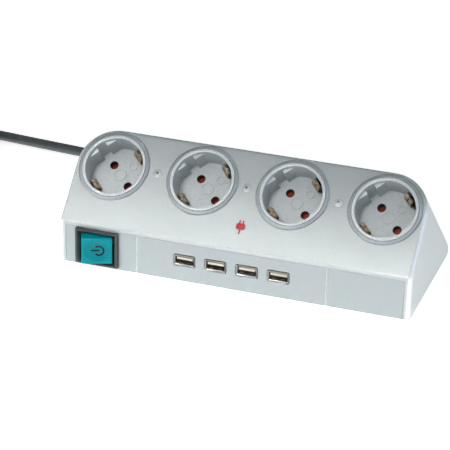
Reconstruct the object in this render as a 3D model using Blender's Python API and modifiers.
"""Desk power strip: four sockets on a sloped face, four USB ports and a rocker switch in front.

Frame: metres, +Z up, +X along the strip, the front looks towards -Y.  The origin lies on the
floor, under the middle of the box round the strip (its cord and plug left out).
"""
import math

import bmesh
import bpy
from mathutils import Matrix, Vector

MM = 0.001

# ---- driving dimensions ------------------------------------------------------------------
LENGTH = 241.0 * MM
HOUSING_BOTTOM = 1.0 * MM            # the feet lift the housing by this much
FRONT_HEIGHT = 30.0 * MM
SLOPE = math.radians(45.0)           # socket face, from the floor
SLOPE_LENGTH = 69.2 * MM
BACK_SLOPE = math.radians(42.0)      # back face, from the floor
CORNER_RADIUS = 26.6 * MM            # top corners of the socket face
EDGE_RADIUS = 2.4 * MM
WALL = 2.2 * MM
GAP = 0.3 * MM                       # between pieces that touch

SOCKET_PITCH = 62.2 * MM
SOCKET_S = 42.8 * MM                 # socket centres, up the slope from its front edge
SOCKET_SPIN = math.radians(45.0)     # the pins lie on a diagonal
RING_RADIUS = 24.2 * MM
RING_HEIGHT = 1.4 * MM
RECESS_RADIUS = 19.8 * MM
RECESS_DEPTH = 17.0 * MM
CUP_RADIUS = 22.2 * MM
CUP_FLOOR = 5.0 * MM
PIN_OFFSET = 9.5 * MM
PIN_HOLE_RADIUS = 2.7 * MM
SHUTTER_HALF_WIDTH = 3.4 * MM
FLAT_RADIUS = 17.4 * MM              # the guide flats, from the socket's axis
FLAT_TOP = -2.2 * MM
KEY_WIDTH = 6.6 * MM                 # the guide groove between two flats
CLIP_WIDTH = 9.0 * MM
CLIP_TOP = -8.4 * MM

PANEL_THICKNESS = 2.5 * MM
PANEL_HALF = 116.2 * MM              # the panel opening, each side of the middle
PANEL_SEAM = 65.1 * MM               # between the USB panel and its neighbours
PANEL_TOP = HOUSING_BOTTOM + 27.5 * MM

USB_PITCH = 21.5 * MM
USB_Z = HOUSING_BOTTOM + 15.0 * MM

SWITCH_X = -93.3 * MM
SWITCH_Z = HOUSING_BOTTOM + 14.4 * MM
BEZEL_SIZE = (30.2 * MM, 25.2 * MM)
BEZEL_PROUD = 3.0 * MM
SWITCH_OPENING = (24.0 * MM, 20.0 * MM)
ROCKER_SIZE = (20.4 * MM, 18.6 * MM)
ROCKER_FACE = 6.0 * MM               # face, in front of the pivot
ROCKER_PIVOT = -0.85 * MM            # pivot, behind the front face
ROCKER_TILT = math.radians(20.0)

CORD_DIAMETER = 7.2 * MM
GLAND_X = -20.0 * MM
GLAND_Z = 15.5 * MM
COIL_X = -282.5 * MM
COIL_DEPTH = 126.0 * MM              # middle of the coil, behind the front face
COIL_RADIUS = 38.0 * MM              # middle turn of the three that lie side by side
COIL_BOTTOM = 1.1 * MM
OUTER_TURN = COIL_RADIUS + CORD_DIAMETER

ROCKER_PROUD = -ROCKER_PIVOT + ROCKER_FACE * math.cos(ROCKER_TILT) + (
    0.5 * ROCKER_SIZE[0] * math.sin(ROCKER_TILT))
APEX_Z = HOUSING_BOTTOM + FRONT_HEIGHT + SLOPE_LENGTH * math.sin(SLOPE)
BODY_DEPTH = SLOPE_LENGTH * math.cos(SLOPE) + (
    (APEX_Z - HOUSING_BOTTOM) / math.tan(BACK_SLOPE))
FRONT_Y = 0.5 * (ROCKER_PROUD - BODY_DEPTH)
SOCKET_X = [(index - 1.5) * SOCKET_PITCH for index in range(4)]
SCREW_X = [(index - 1.0) * SOCKET_PITCH for index in range(3)]
SCREW_S = SOCKET_S - 0.4 * MM

# levels under the socket face, along its normal
FLOOR_H = -RECESS_DEPTH
SHUTTER_H = FLOOR_H - CUP_FLOOR - GAP
SHUTTER_THICKNESS = 1.6 * MM
EARTH_H = SHUTTER_H - 4.9 * MM
EARTH_RAIL_H = EARTH_H - 1.1 * MM
RAIL_H = EARTH_H - 5.0 * MM
TRAY_TOP = RAIL_H - 0.7 * MM
TRAY_BOTTOM = TRAY_TOP - 6.9 * MM
SLEEVE_TOP = EARTH_H + 0.4 * MM
SLEEVE_BOTTOM = TRAY_BOTTOM - 1.0 * MM
STRIP = 0.8 * MM                     # thickness of the brass strip


# ---- scene and helpers -------------------------------------------------------------------
for old in list(bpy.data.objects):
    bpy.data.objects.remove(old, do_unlink=True)

PARTS = bpy.data.collections.new("desk_power_strip")
CUTTERS = bpy.data.collections.new("cutters")
bpy.context.scene.collection.children.link(PARTS)
bpy.context.scene.collection.children.link(CUTTERS)


def material(name, colour, roughness, metallic=0.0):
    """A plain Principled material."""
    made = bpy.data.materials.new(name)
    made.use_nodes = True
    shader = made.node_tree.nodes["Principled BSDF"]
    shader.inputs["Base Color"].default_value = (*colour, 1.0)
    shader.inputs["Roughness"].default_value = roughness
    shader.inputs["Metallic"].default_value = metallic
    made.diffuse_color = (*colour, 1.0)
    return made


SILVER = material("silver_painted_abs", (0.62, 0.65, 0.66), 0.38, 0.35)
BASE_GREY = material("grey_abs", (0.35, 0.36, 0.37), 0.6)
SOCKET_GREY = material("silver_grey_thermoplastic", (0.52, 0.54, 0.56), 0.42, 0.1)
BRASS = material("brass_strip", (0.72, 0.5, 0.24), 0.3, 1.0)
STEEL = material("plated_steel", (0.72, 0.72, 0.7), 0.28, 1.0)
SPRING_STEEL = material("spring_steel", (0.45, 0.45, 0.46), 0.35, 1.0)
SHUTTER_RED = material("red_polyamide", (0.55, 0.07, 0.04), 0.45)
BLACK_PLASTIC = material("black_polyamide", (0.03, 0.035, 0.035), 0.45)
TEAL = material("teal_translucent_pc", (0.0, 0.33, 0.35), 0.3)
CREAM = material("cream_lcp", (0.72, 0.66, 0.5), 0.5)
BOARD_GREEN = material("circuit_board", (0.02, 0.16, 0.07), 0.5)
FERRITE = material("ferrite_and_tape", (0.62, 0.5, 0.08), 0.6)
GLASS = material("neon_lamp_glass", (0.8, 0.35, 0.15), 0.1)
RUBBER = material("black_rubber", (0.03, 0.03, 0.03), 0.8)
CORD_PVC = material("black_cord_pvc", (0.025, 0.025, 0.027), 0.5)


def add(name, bm_or_mesh, finish, matrix=None, cutter=False):
    """Put a mesh in the scene as a part, or as a cutter that the build leaves out."""
    mesh = bm_or_mesh
    if isinstance(bm_or_mesh, bmesh.types.BMesh):
        bmesh.ops.recalc_face_normals(bm_or_mesh, faces=bm_or_mesh.faces[:])
        mesh = bpy.data.meshes.new(name)
        bm_or_mesh.to_mesh(mesh)
        bm_or_mesh.free()
    obj = bpy.data.objects.new(name, mesh)
    obj.matrix_world = matrix or Matrix.Identity(4)
    if cutter:
        CUTTERS.objects.link(obj)
        obj.hide_render = True
        obj.display_type = "WIRE"
        return obj
    PARTS.objects.link(obj)
    if not mesh.materials:
        mesh.materials.append(finish)
    mesh.shade_smooth()
    mesh.set_sharp_from_angle(angle=math.radians(35.0))
    return obj


def boolean(obj, operation, other):
    """Cut another object out of this one, or join it on."""
    modifier = obj.modifiers.new(operation.lower(), "BOOLEAN")
    modifier.operation = operation
    modifier.object = other


def cut(obj, *cutters):
    for cutter in cutters:
        boolean(obj, "DIFFERENCE", cutter)


def join(obj, *others):
    for other in others:
        boolean(obj, "UNION", other)


def bevel(obj, width, segments=2, angle=40.0):
    modifier = obj.modifiers.new("bevel", "BEVEL")
    modifier.width = width
    modifier.segments = segments
    modifier.limit_method = "ANGLE"
    modifier.angle_limit = math.radians(angle)


def block(size, centre=(0.0, 0.0, 0.0)):
    """A box as a bmesh."""
    bm = bmesh.new()
    bmesh.ops.create_cube(bm, size=1.0)
    bmesh.ops.scale(bm, vec=size, verts=bm.verts)
    bmesh.ops.translate(bm, vec=centre, verts=bm.verts)
    return bm


def block_between(low, high):
    """A box from its lowest to its highest corner."""
    size = [high[axis] - low[axis] for axis in range(3)]
    centre = [0.5 * (high[axis] + low[axis]) for axis in range(3)]
    return block(size, centre)


def rod(radius, bottom, top, segments=24, at=(0.0, 0.0)):
    """An upright cylinder as a bmesh."""
    bm = bmesh.new()
    bmesh.ops.create_cone(bm, cap_ends=True, segments=segments, radius1=radius, radius2=radius,
                          depth=top - bottom)
    bmesh.ops.translate(bm, vec=(at[0], at[1], 0.5 * (top + bottom)), verts=bm.verts)
    return bm


def turned(name, profile, finish, matrix, steps=24, cutter=False):
    """A profile (radius, height), run down its outer side, turned about local Z."""
    mesh = bpy.data.meshes.new(name)
    verts = [(radius, 0.0, height) for radius, height in profile]
    edges = [(index, index + 1) for index in range(len(verts) - 1)]
    if profile[0][0] > 0.0:
        edges.append((len(verts) - 1, 0))
    mesh.from_pydata(verts, edges, [])
    obj = add(name, mesh, finish, matrix, cutter)
    screw = obj.modifiers.new("turn", "SCREW")
    screw.steps = steps
    screw.render_steps = steps
    screw.use_merge_vertices = True
    screw.merge_threshold = 1e-5
    screw.use_normal_calculate = False
    return obj


def prism(outline, extrude_by, place):
    """An outline of 2D points, placed by a function, swept along a vector."""
    bm = bmesh.new()
    face = bm.faces.new([bm.verts.new(place(*point)) for point in outline])
    swept = bmesh.ops.extrude_face_region(bm, geom=[face])
    moved = [item for item in swept["geom"] if isinstance(item, bmesh.types.BMVert)]
    bmesh.ops.translate(bm, vec=extrude_by, verts=moved)
    bmesh.ops.recalc_face_normals(bm, faces=bm.faces[:])
    return bm


def arc(centre, radius, start, end, count):
    """Points on an arc, angles in degrees."""
    angles = [math.radians(start + (end - start) * step / count) for step in range(count + 1)]
    return [(centre[0] + radius * math.cos(a), centre[1] + radius * math.sin(a)) for a in angles]


def rounded_rectangle(width, height, radius, count=4):
    """Outline of a rectangle with round corners, about the origin."""
    x = 0.5 * width - radius
    y = 0.5 * height - radius
    points = []
    for index, corner in enumerate([(x, y), (-x, y), (-x, -y), (x, -y)]):
        points += arc(corner, radius, 90.0 * index, 90.0 * index + 90.0, count)
    return points


def ribbon(name, path, width, thickness, finish, matrix):
    """A bent strip: a path in local XZ, drawn out along local Y and thickened."""
    bm = bmesh.new()
    edges = []
    verts = [bm.verts.new((x, -0.5 * width, z)) for x, z in path]
    for first, second in zip(verts, verts[1:]):
        edges.append(bm.edges.new((first, second)))
    swept = bmesh.ops.extrude_edge_only(bm, edges=edges)
    moved = [item for item in swept["geom"] if isinstance(item, bmesh.types.BMVert)]
    bmesh.ops.translate(bm, vec=(0.0, width, 0.0), verts=moved)
    mesh = bpy.data.meshes.new(name)
    bm.to_mesh(mesh)
    bm.free()
    obj = add(name, mesh, finish, matrix)
    solid = obj.modifiers.new("thickness", "SOLIDIFY")
    solid.thickness = thickness
    solid.offset = 0.0
    solid.use_even_offset = True
    return obj


def wire(name, points, diameter, finish, sides=2, matrix=None):
    """A round wire or cord along the points, made a mesh with welded caps."""
    curve = bpy.data.curves.new(name, "CURVE")
    curve.dimensions = "3D"
    curve.bevel_depth = 0.5 * diameter
    curve.bevel_resolution = sides
    curve.use_fill_caps = True
    spline = curve.splines.new("POLY")
    spline.points.add(len(points) - 1)
    for slot, point in zip(spline.points, points):
        slot.co = (*point, 1.0)
    holder = bpy.data.objects.new(name + "_path", curve)
    CUTTERS.objects.link(holder)
    graph = bpy.context.evaluated_depsgraph_get()
    mesh = bpy.data.meshes.new_from_object(holder.evaluated_get(graph))
    bpy.data.objects.remove(holder, do_unlink=True)
    bm = bmesh.new()
    bm.from_mesh(mesh)
    bmesh.ops.remove_doubles(bm, verts=bm.verts, dist=1e-6)
    mesh.materials.clear()
    return add(name, bm, finish, matrix)


def smooth_route(points, spacing):
    """Evenly spaced points on the smooth curve (Catmull-Rom) through a route's points."""
    knots = [Vector(point) for point in points]
    knots = [2 * knots[0] - knots[1]] + knots + [2 * knots[-1] - knots[-2]]
    fine = []
    for p0, p1, p2, p3 in zip(knots, knots[1:], knots[2:], knots[3:]):
        for step in range(12):
            t = step / 12.0
            fine.append(0.5 * (2 * p1 + (p2 - p0) * t + (2 * p0 - 5 * p1 + 4 * p2 - p3) * t * t
                               + (3 * p1 - p0 - 3 * p2 + p3) * t ** 3))
    fine.append(knots[-2])
    count = max(2, round(sum((b - a).length for a, b in zip(fine, fine[1:])) / spacing))
    lengths = [0.0]
    for a, b in zip(fine, fine[1:]):
        lengths.append(lengths[-1] + (b - a).length)
    evenly = []
    index = 0
    for step in range(count + 1):
        target = lengths[-1] * step / count
        while index < len(fine) - 2 and lengths[index + 1] < target:
            index += 1
        share = (target - lengths[index]) / (lengths[index + 1] - lengths[index])
        evenly.append(fine[index].lerp(fine[index + 1], share))
    return evenly


# ---- the socket face ---------------------------------------------------------------------
UP_SLOPE = Vector((0.0, math.cos(SLOPE), math.sin(SLOPE)))
NORMAL = Vector((0.0, -math.sin(SLOPE), math.cos(SLOPE)))
DOWN_BACK = Vector((0.0, math.cos(BACK_SLOPE), -math.sin(BACK_SLOPE)))
FACE_ORIGIN = Vector((0.0, FRONT_Y, HOUSING_BOTTOM + FRONT_HEIGHT))


def on_face(x, s, h=0.0):
    """A point x along the strip, s up the slope and h out of the socket face."""
    return FACE_ORIGIN + Vector((x, 0.0, 0.0)) + s * UP_SLOPE + h * NORMAL


def face_frame(x, s, h=0.0, spin=0.0):
    """Local X along the strip, Y up the slope, Z out of the face, then spun about Z."""
    axes = Matrix((Vector((1.0, 0.0, 0.0)), UP_SLOPE, NORMAL)).transposed().to_4x4()
    return Matrix.Translation(on_face(x, s, h)) @ axes @ Matrix.Rotation(spin, 4, "Z")


def socket_frame(index, h=0.0):
    """Local X towards an earth clip and local Y towards a pin hole."""
    return face_frame(SOCKET_X[index], SOCKET_S, h, SOCKET_SPIN)


def front_frame(x, z, y=0.0):
    """Local X along the strip, Y up, Z out of the front; y is the depth behind the front."""
    turn = Matrix.Rotation(math.radians(90.0), 4, "X")
    return Matrix.Translation((x, FRONT_Y + y, z)) @ turn


# ---- housing, base and feet --------------------------------------------------------------
def wedge(inset, front_inset, bottom, top=None):
    """The housing's form, moved in by an inset, between two levels."""
    half = 0.5 * LENGTH - inset
    radius = CORNER_RADIUS - inset
    upper = SLOPE_LENGTH - inset / math.cos(SLOPE + BACK_SLOPE - math.radians(90.0))
    low = -40.0 * MM
    above = 12.0 * MM
    outline = [(-half, low), (half, low)]
    outline += arc((half - radius, upper - radius), radius, 0.0, 90.0, 8)
    outline += arc((radius - half, upper - radius), radius, 90.0, 180.0, 8)
    lift = -above / NORMAL.dot(DOWN_BACK)
    start = -lift * DOWN_BACK
    bm = prism(outline, DOWN_BACK * (lift + 190.0 * MM), lambda x, s: on_face(x, s) + start)
    planes = [
        (on_face(0.0, 0.0, -inset), NORMAL),
        (Vector((0.0, FRONT_Y + front_inset, 0.0)), Vector((0.0, -1.0, 0.0))),
        (Vector((0.0, 0.0, bottom)), Vector((0.0, 0.0, -1.0))),
    ]
    if top is not None:
        planes.append((Vector((0.0, 0.0, top)), Vector((0.0, 0.0, 1.0))))
    for point, outward in planes:
        geometry = bm.verts[:] + bm.edges[:] + bm.faces[:]
        split = bmesh.ops.bisect_plane(bm, geom=geometry, dist=1e-7, plane_co=point,
                                       plane_no=outward, clear_outer=True)
        rim = [item for item in split["geom_cut"] if isinstance(item, bmesh.types.BMEdge)]
        bmesh.ops.edgeloop_fill(bm, edges=rim)
    return bm


def round_upper_edges(bm):
    """Round the edges of the socket face and the upright corners of the front."""
    face_height = FACE_ORIGIN.dot(NORMAL)
    chosen = []
    for edge in bm.edges:
        ends = [vert.co for vert in edge.verts]
        on_slope = all(abs(end.dot(NORMAL) - face_height) < 1e-6 for end in ends)
        on_front = all(abs(end.y - FRONT_Y) < 1e-6 for end in ends)
        upright = on_front and abs(ends[0].x - ends[1].x) < 1e-6
        if on_slope or upright:
            chosen.append(edge)
    bmesh.ops.bevel(bm, geom=chosen, offset=EDGE_RADIUS, segments=3, profile=0.5,
                    affect="EDGES")


BOSS_PLACES = [(-113.0 * MM, 12.0 * MM), (113.0 * MM, 12.0 * MM),
               (-92.0 * MM, 100.0 * MM), (92.0 * MM, 100.0 * MM)]
FOOT_PLACES = [(-104.0 * MM, 28.0 * MM), (104.0 * MM, 28.0 * MM),
               (-76.0 * MM, 112.0 * MM), (76.0 * MM, 112.0 * MM)]
BOSS_RADIUS = 3.4 * MM
BASE_BOTTOM = HOUSING_BOTTOM + 0.3 * MM
BASE_TOP = BASE_BOTTOM + 2.8 * MM
SCREW_TOP = 14.0 * MM
GLAND_SEAT = FRONT_Y + 124.0 * MM


def inside_height(depth):
    """Height of the cavity's roof, at a depth behind the front."""
    under_slope = FACE_ORIGIN.z + depth * math.tan(SLOPE) - WALL / math.cos(SLOPE)
    apex_depth = SLOPE_LENGTH * math.cos(SLOPE)
    under_back = APEX_Z - (depth - apex_depth) * math.tan(BACK_SLOPE) - WALL / math.cos(BACK_SLOPE)
    return min(under_slope, under_back)


def make_housing():
    outer = wedge(0.0, 0.0, HOUSING_BOTTOM)
    round_upper_edges(outer)
    housing = add("upper_housing", outer, SILVER)
    cavity = wedge(WALL, WALL, HOUSING_BOTTOM - 3.0 * MM)
    cut(housing, add("cavity", cavity, None, cutter=True))
    for number, (x, depth) in enumerate(BOSS_PLACES):
        roof = min(inside_height(depth - BOSS_RADIUS), inside_height(depth + BOSS_RADIUS))
        boss = rod(BOSS_RADIUS, BASE_TOP + GAP, roof + 1.5 * MM, 12, (x, FRONT_Y + depth))
        join(housing, add(f"boss_{number}", boss, None, cutter=True))
        bore = rod(1.8 * MM, HOUSING_BOTTOM, SCREW_TOP + 1.0 * MM, 10, (x, FRONT_Y + depth))
        cut(housing, add(f"boss_bore_{number}", bore, None, cutter=True))
    seat = rod(9.0 * MM, -16.0 * MM, 0.0, 20)
    along_y = front_frame(GLAND_X, GLAND_Z, 124.0 * MM) @ Matrix.Rotation(math.pi, 4, "X")
    join(housing, add("gland_seat", seat, None, along_y, cutter=True))
    spot = rod(9.0 * MM, 0.0, 20.0 * MM, 20)
    cut(housing, add("gland_spot_face", spot, None, along_y, cutter=True))
    hole = rod(5.4 * MM, -30.0 * MM, 5.0 * MM, 20)
    cut(housing, add("gland_hole", hole, None, along_y, cutter=True))
    opening = block_between(
        (-PANEL_HALF, FRONT_Y - 5.0 * MM, HOUSING_BOTTOM - 5.0 * MM),
        (PANEL_HALF, FRONT_Y + 3.0 * MM, PANEL_TOP))
    cut(housing, add("panel_opening", opening, None, cutter=True))
    for index in range(4):
        stepped = [(0.0, 8.0 * MM), (RING_RADIUS + 0.5 * MM, 8.0 * MM),
                   (RING_RADIUS + 0.5 * MM, -0.6 * MM), (CUP_RADIUS + 0.4 * MM, -0.6 * MM),
                   (CUP_RADIUS + 0.4 * MM, -8.0 * MM), (0.0, -8.0 * MM)]
        cut(housing, turned(f"socket_hole_{index}", stepped, None, socket_frame(index), 32, True))
    for number, x in enumerate(SCREW_X):
        hole = rod(1.7 * MM, -8.0 * MM, 8.0 * MM, 10)
        cut(housing, add(f"screw_hole_{number}", hole, None, face_frame(x, SCREW_S), cutter=True))


def make_base():
    plate = wedge(WALL + GAP, PANEL_THICKNESS + 2 * GAP, BASE_BOTTOM, BASE_TOP)
    base = add("base_plate", plate, BASE_GREY)
    for number, (x, depth) in enumerate(BOSS_PLACES):
        place = Matrix.Translation((x, FRONT_Y + depth, 0.0))
        stepped = [(0.0, 9.0 * MM), (1.8 * MM, 9.0 * MM), (1.8 * MM, BASE_BOTTOM + 1.7 * MM),
                   (3.8 * MM, BASE_BOTTOM + 1.7 * MM), (3.8 * MM, -2.0 * MM), (0.0, -2.0 * MM)]
        cut(base, turned(f"base_hole_{number}", stepped, None, place, 14, True))
        head = BASE_BOTTOM + 0.2 * MM
        seat = BASE_BOTTOM + 1.4 * MM
        screw = [(0.0, SCREW_TOP), (0.9 * MM, SCREW_TOP), (1.4 * MM, SCREW_TOP - 1.5 * MM),
                 (1.4 * MM, seat), (3.4 * MM, seat), (3.4 * MM, head + 0.4 * MM),
                 (2.8 * MM, head), (0.0, head)]
        bolt = turned(f"base_screw_{number + 1}", screw, STEEL, place, 14)
        slot = block((4.0 * MM, 0.8 * MM, 1.2 * MM), (0.0, 0.0, head))
        cut(bolt, add(f"base_screw_slot_{number}", slot, None, place, cutter=True))
    for number, (x, depth) in enumerate(FOOT_PLACES):
        place = Matrix.Translation((x, FRONT_Y + depth, 0.0))
        pocket = rod(6.9 * MM, -2.0 * MM, 2.6 * MM, 20)
        cut(base, add(f"foot_pocket_{number}", pocket, None, place, cutter=True))
        profile = [(0.0, 2.3 * MM), (6.5 * MM, 2.3 * MM), (6.5 * MM, 0.5 * MM),
                   (6.0 * MM, 0.0), (0.0, 0.0)]
        turned(f"foot_{number + 1}", profile, RUBBER, place, 16)


# ---- front panels, USB ports and their electronics ---------------------------------------
def make_panels():
    spans = {"switch_panel": (-PANEL_HALF, -PANEL_SEAM), "usb_panel": (-PANEL_SEAM, PANEL_SEAM),
             "blank_panel": (PANEL_SEAM, PANEL_HALF)}
    panels = {}
    for name, (left, right) in spans.items():
        low = (left + 0.5 * GAP, FRONT_Y, HOUSING_BOTTOM)
        high = (right - 0.5 * GAP, FRONT_Y + PANEL_THICKNESS, PANEL_TOP - GAP)
        panels[name] = add(name, block_between(low, high), SILVER)
        bevel(panels[name], 0.3 * MM, 1)
    hole = block((27.8 * MM, 20.0 * MM, 22.8 * MM), (SWITCH_X, FRONT_Y, SWITCH_Z))
    cut(panels["switch_panel"], add("switch_hole", hole, None, cutter=True))
    for index in range(4):
        port = prism(rounded_rectangle(15.1 * MM, 8.3 * MM, 1.3 * MM), (0.0, 0.0, 20.0 * MM),
                     lambda x, y: Vector((x, y, -10.0 * MM)))
        cut(panels["usb_panel"], add(f"usb_hole_{index}", port, None, usb_frame(index), cutter=True))


def usb_frame(index):
    return front_frame((index - 1.5) * USB_PITCH, USB_Z)


def make_usb_ports():
    shell_depth = 14.0 * MM
    for index in range(4):
        flange = prism(rounded_rectangle(14.5 * MM, 7.7 * MM, 1.0 * MM), (0.0, 0.0, -0.8 * MM),
                       lambda x, y: Vector((x, y, 0.3 * MM)))
        shell = add(f"usb_shell_{index + 1}", flange, STEEL, usb_frame(index))
        tube = prism(rounded_rectangle(13.2 * MM, 5.9 * MM, 0.6 * MM, 2), (0.0, 0.0, -shell_depth),
                     lambda x, y: Vector((x, y, 0.0)))
        join(shell, add(f"usb_tube_{index}", tube, None, usb_frame(index), cutter=True))
        bore = prism(rounded_rectangle(12.4 * MM, 5.1 * MM, 0.4 * MM, 2),
                     (0.0, 0.0, 0.6 * MM - shell_depth), lambda x, y: Vector((x, y, 1.0 * MM)))
        cut(shell, add(f"usb_bore_{index}", bore, None, usb_frame(index), cutter=True))
        root = block_between((-5.8 * MM, -2.2 * MM, -12.2 * MM), (5.8 * MM, 2.2 * MM, -9.6 * MM))
        tongue = add(f"usb_tongue_{index + 1}", root, CREAM, usb_frame(index))
        blade = block_between((-5.55 * MM, 0.15 * MM, -10.5 * MM), (5.55 * MM, 2.0 * MM, -0.9 * MM))
        join(tongue, add(f"usb_blade_{index}", blade, None, usb_frame(index), cutter=True))


def make_electronics():
    board_top = USB_Z - 0.5 * 5.9 * MM - GAP
    board = block_between((-46.0 * MM, FRONT_Y + 4.0 * MM, board_top - 1.6 * MM),
                          (46.0 * MM, FRONT_Y + 40.0 * MM, board_top))
    add("usb_board", board, BOARD_GREEN)
    seat = board_top + GAP
    core = block_between((-11.0 * MM, FRONT_Y + 20.0 * MM, seat),
                         (9.0 * MM, FRONT_Y + 36.0 * MM, seat + 4.0 * MM))
    transformer = add("usb_transformer", core, FERRITE)
    bobbin = block_between((-8.0 * MM, FRONT_Y + 18.5 * MM, seat + 1.0 * MM),
                           (6.0 * MM, FRONT_Y + 37.5 * MM, seat + 9.5 * MM))
    join(transformer, add("bobbin", bobbin, None, cutter=True))
    upper_core = block_between((-11.0 * MM, FRONT_Y + 20.0 * MM, seat + 8.0 * MM),
                               (9.0 * MM, FRONT_Y + 36.0 * MM, seat + 12.0 * MM))
    join(transformer, add("upper_core", upper_core, None, cutter=True))
    can = [(0.0, seat + 12.0 * MM), (4.4 * MM, seat + 12.0 * MM), (5.0 * MM, seat + 11.4 * MM),
           (5.0 * MM, seat + 2.0 * MM), (4.6 * MM, seat + 1.6 * MM), (5.0 * MM, seat + 1.2 * MM),
           (5.0 * MM, seat), (0.0, seat)]
    turned("usb_capacitor", can, BLACK_PLASTIC,
           Matrix.Translation((24.0 * MM, FRONT_Y + 28.0 * MM, 0.0)), 16)
    low = (GLAND_X - 16.0 * MM, FRONT_Y + 76.0 * MM, BASE_TOP + GAP)
    high = (GLAND_X + 16.0 * MM, FRONT_Y + 92.0 * MM, BASE_TOP + 15.0 * MM)
    terminals = add("terminal_block", block_between(low, high), CREAM)
    for number in range(3):
        way = rod(2.0 * MM, -30.0 * MM, 30.0 * MM, 10)
        place = front_frame(GLAND_X + (number - 1) * 10.0 * MM, BASE_TOP + 5.0 * MM, 84.0 * MM)
        cut(terminals, add(f"wire_way_{number}", way, None, place, cutter=True))


# ---- rocker switch -----------------------------------------------------------------------
LEVER_DEPTH = 13.0 * MM
LEVER_RATIO = 0.5


def make_switch():
    flange = block_between(
        (SWITCH_X - 0.5 * BEZEL_SIZE[0], FRONT_Y - BEZEL_PROUD, SWITCH_Z - 0.5 * BEZEL_SIZE[1]),
        (SWITCH_X + 0.5 * BEZEL_SIZE[0], FRONT_Y - GAP, SWITCH_Z + 0.5 * BEZEL_SIZE[1]))
    body = add("switch_body", flange, BLACK_PLASTIC)
    bevel(body, 0.8 * MM, 2)
    box = block_between((SWITCH_X - 13.5 * MM, FRONT_Y - 1.0 * MM, SWITCH_Z - 11.0 * MM),
                        (SWITCH_X + 13.5 * MM, FRONT_Y + 25.0 * MM, SWITCH_Z + 11.0 * MM))
    join(body, add("switch_box", box, None, cutter=True))
    well = block_between(
        (SWITCH_X - 0.5 * SWITCH_OPENING[0], FRONT_Y - 9.0 * MM, SWITCH_Z - 0.5 * SWITCH_OPENING[1]),
        (SWITCH_X + 0.5 * SWITCH_OPENING[0], FRONT_Y + 23.5 * MM, SWITCH_Z + 0.5 * SWITCH_OPENING[1]))
    cut(body, add("switch_well", well, None, cutter=True))

    half_w = 0.5 * ROCKER_SIZE[0]
    half_h = 0.5 * ROCKER_SIZE[1]
    pivot = Matrix.Translation((SWITCH_X, FRONT_Y + ROCKER_PIVOT, SWITCH_Z))
    tilt = Matrix.Rotation(ROCKER_TILT, 4, "Z")
    cap = block_between((-half_w, -ROCKER_FACE, -half_h), (half_w, 4.0 * MM, half_h))
    rocker = add("rocker", cap, TEAL, pivot @ tilt)
    bevel(rocker, 0.7 * MM, 2)
    leg = block_between((-2.0 * MM, 2.0 * MM, -3.0 * MM), (2.0 * MM, 9.0 * MM, 3.0 * MM))
    join(rocker, add("rocker_leg", leg, None, pivot @ tilt, cutter=True))

    lever_place = Matrix.Translation((SWITCH_X, FRONT_Y + LEVER_DEPTH, SWITCH_Z))
    lever_tilt = Matrix.Rotation(-ROCKER_TILT * LEVER_RATIO, 4, "Z")
    blade = [(-8.0 * MM, 0.6 * MM), (-5.0 * MM, 0.0), (5.0 * MM, 0.0), (8.0 * MM, 0.6 * MM)]
    ribbon("contact_lever", blade, 5.0 * MM, 0.8 * MM, BRASS,
           lever_place @ lever_tilt @ Matrix.Rotation(math.radians(-90.0), 4, "X"))
    bulb = [(0.0, 5.0 * MM), (1.2 * MM, 4.6 * MM), (2.0 * MM, 3.4 * MM), (2.0 * MM, -4.6 * MM),
            (1.5 * MM, -5.0 * MM), (0.0, -5.0 * MM)]
    turned("switch_lamp", bulb, GLASS,
           Matrix.Translation((SWITCH_X, FRONT_Y + 19.5 * MM, SWITCH_Z)), 12)


# ---- sockets -----------------------------------------------------------------------------
CLIP_REACH = 18.3 * MM


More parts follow.
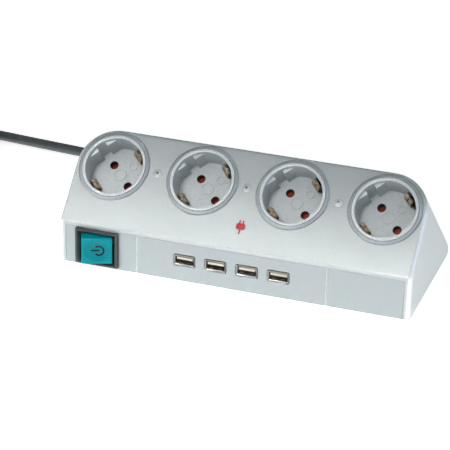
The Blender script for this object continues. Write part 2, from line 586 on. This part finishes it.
def make_sockets():
    for index in range(4):
        frame = socket_frame(index)
        number = index + 1
        bottom = FLOOR_H - CUP_FLOOR
        spindle = EARTH_H + 0.5 * STRIP + GAP
        profile = [(0.0, FLOOR_H), (RECESS_RADIUS, FLOOR_H), (RECESS_RADIUS, RING_HEIGHT - 0.4 * MM),
                   (RECESS_RADIUS + 0.3 * MM, RING_HEIGHT), (RING_RADIUS - 1.5 * MM, RING_HEIGHT),
                   (RING_RADIUS - 0.1 * MM, GAP), (RING_RADIUS, -0.3 * MM), (CUP_RADIUS, -0.3 * MM),
                   (CUP_RADIUS, bottom), (1.8 * MM, bottom), (1.8 * MM, spindle), (0.0, spindle)]
        insert = turned(f"socket_insert_{number}", profile, SOCKET_GREY, frame, 32)
        for side in (-1, 1):
            turn = Matrix.Rotation(math.radians(90.0 - 90.0 * side), 4, "Z")
            for edge in (-1, 1):
                near = edge * 0.5 * KEY_WIDTH
                far = edge * 9.6 * MM
                low = (min(near, far), FLAT_RADIUS, FLOOR_H - 0.5 * MM)
                high = (max(near, far), FLAT_RADIUS + 3.2 * MM, FLAT_TOP)
                flat = add(f"flat_{index}_{side}_{edge}", block_between(low, high), None,
                           frame @ turn, cutter=True)
                join(insert, flat)
            hole = rod(PIN_HOLE_RADIUS, bottom - 1.0 * MM, FLOOR_H + 1.0 * MM, 14,
                       (0.0, side * PIN_OFFSET))
            cut(insert, add(f"pin_hole_{index}_{side}", hole, None, frame, cutter=True))
            slot = block((2.4 * MM, CLIP_WIDTH + 1.0 * MM, 14.0 * MM),
                         (side * 18.2 * MM, 0.0, FLOOR_H - 2.0 * MM))
            cut(insert, add(f"clip_slot_{index}_{side}", slot, None, frame, cutter=True))

        arm = [(17.2 * MM, CLIP_TOP), (15.8 * MM, CLIP_TOP - 1.8 * MM),
               (15.8 * MM, CLIP_TOP - 3.4 * MM), (CLIP_REACH, FLOOR_H + 1.6 * MM),
               (CLIP_REACH, EARTH_H)]
        path = [(-x, h) for x, h in arm] + arm[::-1]
        ribbon(f"earth_clip_{number}", path, CLIP_WIDTH, STRIP, BRASS, frame)

        bar = prism(rounded_rectangle(2 * SHUTTER_HALF_WIDTH, 26.0 * MM, 3.3 * MM, 4),
                    (0.0, 0.0, -SHUTTER_THICKNESS), lambda x, y: Vector((x, y, SHUTTER_H)))
        shutter = add(f"shutter_{number}", bar, SHUTTER_RED, frame)
        hub_bottom = SHUTTER_H - SHUTTER_THICKNESS - 2.3 * MM
        hub = rod(3.0 * MM, hub_bottom, SHUTTER_H - 0.5 * MM, 14)
        join(shutter, add(f"hub_{index}", hub, None, frame, cutter=True))
        axle = rod(2.1 * MM, hub_bottom - 2.0 * MM, SHUTTER_H + 2.0 * MM, 12)
        cut(shutter, add(f"axle_{index}", axle, None, frame, cutter=True))

        turns = 1.75
        steps = 18
        top = SHUTTER_H - SHUTTER_THICKNESS - 0.7 * MM
        coil = []
        for step in range(steps + 1):
            angle = 2 * math.pi * turns * step / steps
            height = top - 1.5 * MM * step / steps
            coil.append((3.9 * MM * math.cos(angle), 3.9 * MM * math.sin(angle), height))
        wire(f"shutter_spring_{number}", coil, 0.6 * MM, SPRING_STEEL, 0, frame)


def make_rails():
    half = 104.0 * MM
    offset = PIN_OFFSET * math.cos(SOCKET_SPIN)
    for name, side in (("live_rail", 1), ("neutral_rail", -1)):
        row = face_frame(0.0, SOCKET_S + side * offset)
        low = (-half, -2.4 * MM, RAIL_H - 0.5 * STRIP)
        high = (half, 2.4 * MM, RAIL_H + 0.5 * STRIP)
        rail = add(name, block_between(low, high), BRASS, row)
        for index in range(4):
            x = SOCKET_X[index] - side * offset
            sleeve = rod(3.4 * MM, SLEEVE_BOTTOM, SLEEVE_TOP, 10, (x, 0.0))
            join(rail, add(f"{name}_sleeve_{index}", sleeve, None, row, cutter=True))
        for index in range(4):
            x = SOCKET_X[index] - side * offset
            bore = rod(2.5 * MM, SLEEVE_BOTTOM - 1.0 * MM, SLEEVE_TOP + 1.0 * MM, 10, (x, 0.0))
            cut(rail, add(f"{name}_bore_{index}", bore, None, row, cutter=True))
    row = face_frame(0.0, SOCKET_S + 12.6 * MM)
    low = (-half, -1.7 * MM, EARTH_RAIL_H - 0.5 * STRIP)
    high = (half + 6.0 * MM, 1.7 * MM, EARTH_RAIL_H + 0.5 * STRIP)
    add("earth_rail", block_between(low, high), BRASS, row)


def make_tray():
    frame = face_frame(0.0, SOCKET_S)
    plate = block_between((-112.0 * MM, -15.0 * MM, TRAY_BOTTOM), (112.0 * MM, 15.0 * MM, TRAY_TOP))
    tray = add("contact_tray", plate, BLACK_PLASTIC, frame)
    offset = PIN_OFFSET * math.cos(SOCKET_SPIN)
    for side in (-1, 1):
        for index in range(4):
            hole = rod(4.2 * MM, TRAY_BOTTOM - 2.0 * MM, TRAY_TOP + 2.0 * MM, 10,
                       (SOCKET_X[index] - side * offset, side * offset))
            cut(tray, add(f"sleeve_hole_{side}_{index}", hole, None, frame, cutter=True))
    for number, x in enumerate(SCREW_X):
        shift = SCREW_S - SOCKET_S
        post = rod(3.3 * MM, TRAY_TOP - 1.0 * MM, -WALL - GAP, 14, (x, shift))
        join(tray, add(f"post_{number}", post, None, frame, cutter=True))
        bore = rod(1.7 * MM, -16.0 * MM, 0.0, 10, (x, shift))
        cut(tray, add(f"post_bore_{number}", bore, None, frame, cutter=True))
        screw = [(0.0, 1.5 * MM), (1.3 * MM, 1.35 * MM), (2.2 * MM, 0.95 * MM),
                 (2.7 * MM, GAP), (1.3 * MM, GAP), (1.3 * MM, -13.0 * MM),
                 (0.8 * MM, -14.5 * MM), (0.0, -14.5 * MM)]
        turned(f"face_screw_{number + 1}", screw, STEEL, face_frame(x, SCREW_S), 16)


# ---- cord, coil and plug -----------------------------------------------------------------
GLAND_TIP = 146.0 * MM               # behind the front


def behind(x, depth, z):
    """A point at a depth behind the front face."""
    return (x * MM, FRONT_Y + depth * MM, z * MM)


# the lead's own points, from the gland to the coil
LEAD_ROUTE = [
    behind(-20.0, 146.3, 15.5), behind(-20.0, 152.0, 15.4), behind(-20.6, 158.0, 15.0),
    behind(-24.6, 166.5, 13.6), behind(-31.5, 173.2, 11.6), behind(-40.5, 176.6, 9.2),
    behind(-51.0, 177.2, 7.0), behind(-62.0, 175.4, 5.2), behind(-74.0, 172.0, 4.1),
    behind(-86.0, 168.4, 3.7), behind(-99.0, 165.2, 3.65), behind(-112.0, 163.4, 3.65),
    behind(-125.5, 163.1, 3.65), behind(-140.0, 163.8, 3.65), behind(-160.0, 165.1, 3.65),
    behind(-180.0, 166.8, 3.65), behind(-200.0, 168.6, 3.65), behind(-220.0, 170.1, 3.8),
    behind(-239.0, 171.0, 4.3), behind(-255.8, 171.2, 4.7)]


TIE = 0.8 * MM
TIE_ANGLE = 30.0                     # degrees round the coil, from +X


def tie_outline(gap):
    """Round the section of the coil and of the turn on top of it, at a distance."""
    half_w = 1.5 * CORD_DIAMETER + gap + 2 * GAP
    low = -gap
    shoulder = 2 * CORD_DIAMETER + gap
    high = 3 * CORD_DIAMETER + GAP + gap
    slant = 0.55 * gap
    return [(-half_w, low), (half_w, low), (half_w, high - 1.2 * MM), (half_w - 1.2 * MM, high),
            (0.4 * CORD_DIAMETER - slant, high), (-half_w + 3.6 * MM - slant, shoulder),
            (-half_w, shoulder - 1.0 * MM)]


TAIL_X = COIL_X - OUTER_TURN
TAIL_Z = COIL_BOTTOM + 2 * CORD_DIAMETER + GAP + 0.5 * CORD_DIAMETER
PLUG_FACE_DEPTH = 32.0 * MM          # behind the front face
PLUG_Z = 19.1 * MM


def tail_route():
    """Half a turn on top of the coil, then off its left side to the plug."""
    points = []
    for degrees in range(-20, 170, 14):
        angle = math.radians(degrees)
        points.append((COIL_X + OUTER_TURN * math.cos(angle),
                       FRONT_Y + COIL_DEPTH + OUTER_TURN * math.sin(angle), TAIL_Z))
    for depth, z in ((126.0, 19.4), (115.0, 19.4), (105.0, 19.25), (98.0, 19.15), (92.3, 19.1)):
        points.append((TAIL_X, FRONT_Y + depth * MM, z * MM))
    return points


def make_gland():
    place = Matrix.Translation((GLAND_X, FRONT_Y, GLAND_Z)) @ Matrix.Rotation(math.radians(-90.0), 4, "X")
    profile = [(0.0, GLAND_TIP), (4.6 * MM, GLAND_TIP)]
    for ring in range(3):
        low = (142.0 - 5.0 * ring) * MM
        radius = (4.9 + 0.35 * ring) * MM
        profile += [(radius, low), (radius, low - 2.0 * MM), (radius - 0.6 * MM, low - 2.4 * MM)]
    profile += [(6.0 * MM, 127.4 * MM), (7.4 * MM, 127.0 * MM), (7.6 * MM, 124.3 * MM),
                (5.1 * MM, 124.3 * MM), (5.1 * MM, 107.6 * MM), (7.4 * MM, 107.6 * MM),
                (7.4 * MM, 104.6 * MM), (0.0, 104.6 * MM)]
    turned("cord_gland", profile, BLACK_PLASTIC, place, 14)


def make_cord():
    wire("mains_cord", smooth_route(LEAD_ROUTE, 6.5 * MM), CORD_DIAMETER, CORD_PVC)
    half_w = 1.5 * CORD_DIAMETER
    height = 2 * CORD_DIAMETER
    inner = COIL_RADIUS - half_w
    outer = COIL_RADIUS + half_w
    ring = [(outer - 2.0 * MM, height), (outer, height - 2.0 * MM), (outer, 2.0 * MM),
            (outer - 2.0 * MM, 0.0), (inner + 2.0 * MM, 0.0), (inner, 2.0 * MM),
            (inner, height - 2.0 * MM), (inner + 2.0 * MM, height)]
    place = Matrix.Translation((COIL_X, FRONT_Y + COIL_DEPTH, COIL_BOTTOM))
    turned("cord_coil", ring, CORD_PVC, place, 26)
    wire("cord_tail", smooth_route(tail_route(), 6.5 * MM), CORD_DIAMETER, CORD_PVC)

    around = Matrix.Rotation(math.radians(TIE_ANGLE), 4, "Z")
    upright = Matrix.Rotation(math.radians(90.0), 4, "X")
    section = place @ around @ Matrix.Translation((COIL_RADIUS, 0.0, 0.0)) @ upright
    tie = add("cord_tie", prism(tie_outline(GAP + TIE), (0.0, 0.0, 6.0 * MM),
                                lambda x, y: Vector((x, y, -3.0 * MM))), RUBBER, section)
    gap = prism(tie_outline(GAP), (0.0, 0.0, 12.0 * MM), lambda x, y: Vector((x, y, -6.0 * MM)))
    cut(tie, add("tie_inside", gap, None, section, cutter=True))


def make_plug():
    place = Matrix.Translation((TAIL_X, FRONT_Y + PLUG_FACE_DEPTH, PLUG_Z))
    place = place @ Matrix.Rotation(math.radians(-90.0), 4, "X")
    profile = [(0.0, 60.0 * MM), (4.4 * MM, 60.0 * MM), (5.4 * MM, 42.0 * MM),
               (9.0 * MM, 40.5 * MM), (11.5 * MM, 34.0 * MM), (12.0 * MM, 26.0 * MM),
               (16.0 * MM, 23.0 * MM), (18.2 * MM, 20.0 * MM), (19.0 * MM, 17.0 * MM),
               (19.0 * MM, 1.0 * MM), (18.2 * MM, 0.0), (0.0, 0.0)]
    body = turned("plug_body", profile, BLACK_PLASTIC, place, 20)
    for side in (-1, 1):
        socket = rod(2.0 * MM, -5.0 * MM, 8.0 * MM, 10, (side * PIN_OFFSET, 0.0))
        cut(body, add(f"plug_pin_socket_{side}", socket, None, place, cutter=True))
        notch = block((3.0 * MM, 5.4 * MM, 34.0 * MM), (side * 19.0 * MM, 0.0, 0.0))
        cut(body, add(f"plug_notch_{side}", notch, None, place, cutter=True))
    for number, side in enumerate((-1, 1)):
        pin = [(0.0, 7.0 * MM), (1.6 * MM, 7.0 * MM), (1.6 * MM, -GAP), (2.4 * MM, -GAP),
               (2.4 * MM, -18.0 * MM), (1.4 * MM, -19.0 * MM), (0.0, -19.0 * MM)]
        across = Matrix.Translation((side * PIN_OFFSET, 0.0, 0.0))
        turned(f"plug_pin_{number + 1}", pin, STEEL, place @ across, 12)


def build_all():
    make_housing()
    make_base()
    make_panels()
    make_usb_ports()
    make_electronics()
    make_switch()
    make_sockets()
    make_rails()
    make_tray()
    make_gland()
    make_cord()
    make_plug()


build_all()
